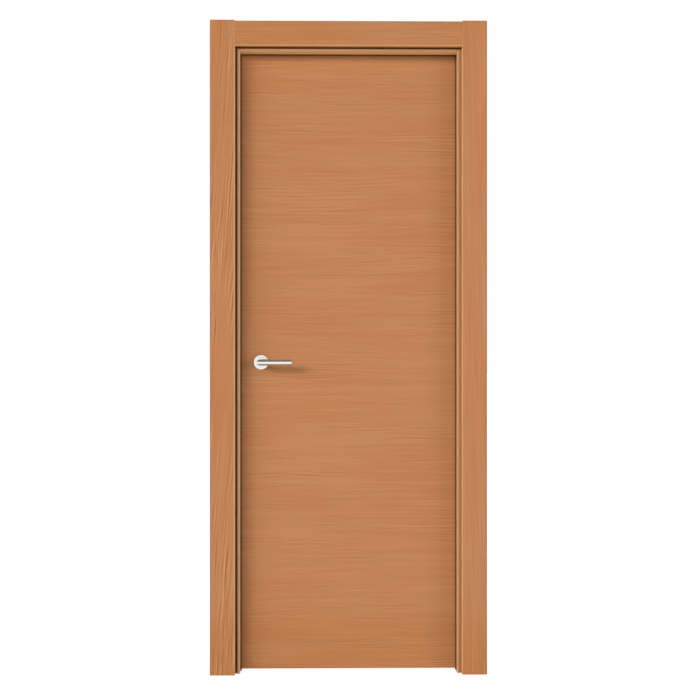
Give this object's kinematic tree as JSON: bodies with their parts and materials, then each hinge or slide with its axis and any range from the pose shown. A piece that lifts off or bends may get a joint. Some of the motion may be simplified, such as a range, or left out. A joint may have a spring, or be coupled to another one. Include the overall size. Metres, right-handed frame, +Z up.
{
  "type": "interior door",
  "caption": "Flush wood-veneered interior door leaf hung on lift-off hinges in a rebated, mitred frame with flat architraves on both wall faces and lever handles on round roses.",
  "frame": {"origin": "on the wall face of the hinge jamb, at floor level, in the middle of the frame depth", "axes": "+X out of the hinge jamb towards the wall beside it, +Y through the wall towards the side the leaf opens to, +Z up"},
  "size_m": [0.918, 0.151, 2.1335],
  "materials": {
    "leaf_veneer": "satin",
    "leaf_edge_wood": "satin",
    "frame_wood": "satin",
    "architrave_wood": "satin",
    "seal_rubber": "matte",
    "satin_metal": "satin",
    "handle_metal": "polished"
  },
  "bodies": {
    "frame": {"hinge_jamb": "frame_wood", "lock_jamb": "frame_wood", "head_jamb": "frame_wood", "front_architrave_hinge_side": "architrave_wood", "front_architrave_lock_side": "architrave_wood", "front_architrave_head": "architrave_wood", "back_architrave_hinge_side": "architrave_wood", "back_architrave_lock_side": "architrave_wood", "back_architrave_head": "architrave_wood", "hinge_side_seal": "seal_rubber", "lock_side_seal": "seal_rubber", "head_seal": "seal_rubber", "strike_plate": "satin_metal", "top_frame_hinge": "satin_metal", "middle_frame_hinge": "satin_metal", "bottom_frame_hinge": "satin_metal"},
    "leaf": {"front_skin": "leaf_veneer", "back_skin": "leaf_veneer", "hinge_stile": "leaf_edge_wood", "lock_stile": "leaf_edge_wood", "top_rail": "leaf_edge_wood", "bottom_rail": "leaf_edge_wood", "top_leaf_hinge": "satin_metal", "middle_leaf_hinge": "satin_metal", "bottom_leaf_hinge": "satin_metal", "lock_case": "satin_metal", "latch_bolt": "satin_metal", "front_rose": "handle_metal", "back_rose": "handle_metal"},
    "handle": {"front_lever": "handle_metal", "back_lever": "handle_metal", "spindle": "satin_metal"}
  },
  "joints": [
    {"name": "door_swing", "type": "hinge", "parent": "frame", "child": "leaf", "pos_m": [-0.0245, 0.0465, 1.02], "axis": [0, 0, -1], "range_deg": [0, 170]},
    {"name": "handle_turn", "type": "hinge", "parent": "leaf", "child": "handle", "pos_m": [-0.677, 0.019, 1.014], "axis": [0, 1, 0], "range_deg": [0, 40], "stiffness_Nm_per_rad": 1.5, "springref_deg": -28.65}
  ]
}
